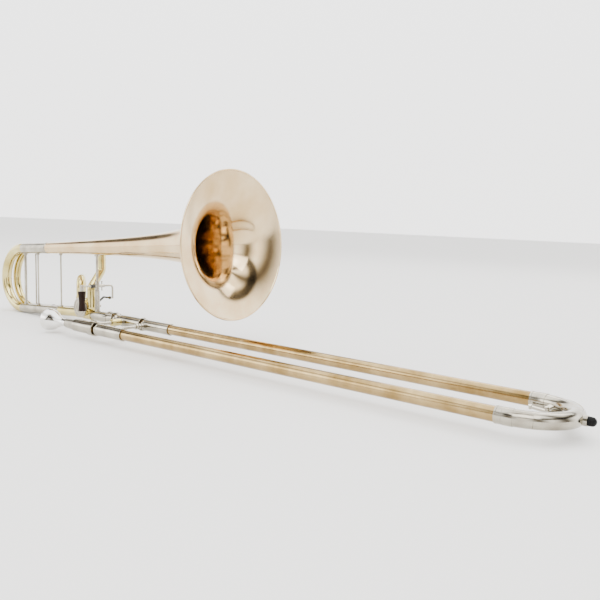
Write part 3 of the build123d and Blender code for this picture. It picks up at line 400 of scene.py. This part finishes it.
def takePlace(piece, node):
    # The piece stands for a CAD node: same body, same finish.
    piece.data.materials.clear()
    piece.data.materials.append(slotMaterials[nodeSlots[node]])
    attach(piece, nodeBodies[node])
    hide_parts(node)


# Bell: spun flare with a rolled rim
bellSizes = {
    "rim": 371.3,
    "rimRadius": 108.0,
    "tail": -91.4,
    "flare": 14.0,
    "power": 0.66,
    "wall": 0.7,
    "bead": 1.5,
    "lipDrop": 2.1,
    "crowding": 2.2,
    "segments": 128,
}


def bellRadius(u):
    # The flare widens as a power of the distance left to the rim.
    b = bellSizes
    return b["rimRadius"] * (b["flare"] / (b["flare"] + b["rim"] - u)) ** b["power"]


def bellSkin(inset, stations=64):
    # Stations crowd together toward the rim, where the skin turns fastest.
    b = bellSizes
    lipShare = (b["rimRadius"] / (b["rimRadius"] - b["lipDrop"])) ** (1 / b["power"])
    lip = b["rim"] + b["flare"] - b["flare"] * lipShare
    line = []
    for i in range(stations):
        u = lip - (lip - b["tail"]) * (1 - i / (stations - 1)) ** b["crowding"]
        slope = math.atan(b["power"] * bellRadius(u) / (b["flare"] + b["rim"] - u))
        line.append((u + inset * math.sin(slope), bellRadius(u) - inset * math.cos(slope)))
    return line


bead = [
    (
        bellSizes["rim"] + bellSizes["bead"] * math.cos(math.radians(a)),
        bellSizes["rimRadius"] - bellSizes["bead"] / 2 + bellSizes["bead"] * math.sin(math.radians(a)),
    )
    for a in range(235, -60, -15)
]
skin = bellSkin(0.0)
lining = bellSkin(bellSizes["wall"])
spunBell = turnOnLathe(
    "spunBell",
    skin + bead + lining[::-1] + [skin[0]],
    axisFrame(True, shared["bellHeight"], 0, shared["bend"]),
    bellSizes["segments"],
)
takePlace(spunBell, "bell")
print("bell made")

# Mouthpiece: rounded rim, ball-like cup and a plain shank
cupSizes = {
    "rim": -61.0,
    "rimRadius": 18.2,
    "cup": 12.8,
    "throat": 3.6,
    "shankStart": -22.0,
    "shank": 6.1,
    "tip": 5.5,
    "tipBore": 4.5,
    "end": 7.9,
}
rimX = cupSizes["rim"]
cupOutside = smoothLine(
    [
        (rimX, 15.4),
        (rimX + 0.7, 17.3),
        (rimX + 2.4, cupSizes["rimRadius"]),
        (rimX + 6.0, cupSizes["rimRadius"] - 0.5),
        (rimX + 14.0, cupSizes["rimRadius"] - 2.4),
        (rimX + 22.0, cupSizes["rimRadius"] - 6.0),
        (rimX + 29.0, 9.4),
        (cupSizes["shankStart"], cupSizes["shank"] + 0.4),
        (cupSizes["shankStart"] + 8.0, cupSizes["shank"] + 0.1),
    ],
    6,
)
cupInside = smoothLine(
    [
        (rimX + 31.0, cupSizes["throat"]),
        (rimX + 25.0, cupSizes["throat"] + 1.4),
        (rimX + 19.0, 8.4),
        (rimX + 10.0, 11.4),
        (rimX + 1.8, cupSizes["cup"]),
        (rimX + 0.4, 14.0),
        (rimX, 15.4),
    ],
    6,
)
shankLine = [(cupSizes["end"], cupSizes["tip"]), (cupSizes["end"], cupSizes["tipBore"])]
platedMouthpiece = turnOnLathe(
    "platedMouthpiece", cupOutside + shankLine + cupInside, axisFrame(False, 0, shared["nearSide"])
)
takePlace(platedMouthpiece, "mouthpiece")
print("mouthpiece made")

# Thumb grip: an hourglass of oiled wood, hung from its nickel socket
gripSizes = {"along": 51.8, "side": -32.5, "top": 40.5, "length": 34.0, "radius": 6.9, "waist": 5.2}
lean = math.radians(shared["tilt"])
alongBell = Vector((math.cos(lean), 0, math.sin(lean)))
upBell = Vector((-math.sin(lean), 0, math.cos(lean)))
gripPlace = Vector(shared["bend"]) + alongBell * gripSizes["along"] + Vector((0, gripSizes["side"], 0))
gripTurn = Matrix((alongBell, Vector((0, 1, 0)), upBell)).transposed().to_4x4()
top, foot, wide = gripSizes["top"], gripSizes["top"] - gripSizes["length"], gripSizes["radius"]
gripOutline = [(foot, 0.01), (foot, wide - 2.2)]
gripOutline += smoothLine(
    [
        (foot + 0.1, wide - 1.6),
        (foot + 1.2, wide - 0.4),
        (foot + 6.0, wide - 0.9),
        (foot + 15.0, gripSizes["waist"]),
        (foot + 25.0, wide - 1.0),
        (top - 1.2, wide),
        (top - 0.1, wide - 0.8),
    ],
    5,
)
gripOutline += [(top, wide - 1.4), (top, 0.01)]
turnedGrip = turnOnLathe("turnedGrip", gripOutline, Matrix.Translation(gripPlace / 1000) @ gripTurn, 64)
takePlace(turnedGrip, "thumb_grip")
print("grip made")

# Rubber tip: a moulded bumper, domed at its end
tipSizes = {"start": 752.7, "length": 7.7, "radius": 4.65}
tipEnd = tipSizes["start"] + tipSizes["length"]
tipOutline = [(tipSizes["start"], 0.01), (tipSizes["start"], tipSizes["radius"] - 0.5)]
tipOutline += smoothLine(
    [
        (tipSizes["start"] + 0.3, tipSizes["radius"] - 0.1),
        (tipSizes["start"] + 1.2, tipSizes["radius"]),
        (tipSizes["start"] + 4.4, tipSizes["radius"] - 0.1),
        (tipEnd - 1.3, 3.4),
        (tipEnd - 0.2, 1.4),
    ],
    5,
)
tipOutline += [(tipEnd, 0.01)]
mouldedTip = turnOnLathe("mouldedTip", tipOutline, axisFrame(False, 0, shared["nearSide"] / 2), 48)
takePlace(mouldedTip, "rubber_tip")
print("tip made")
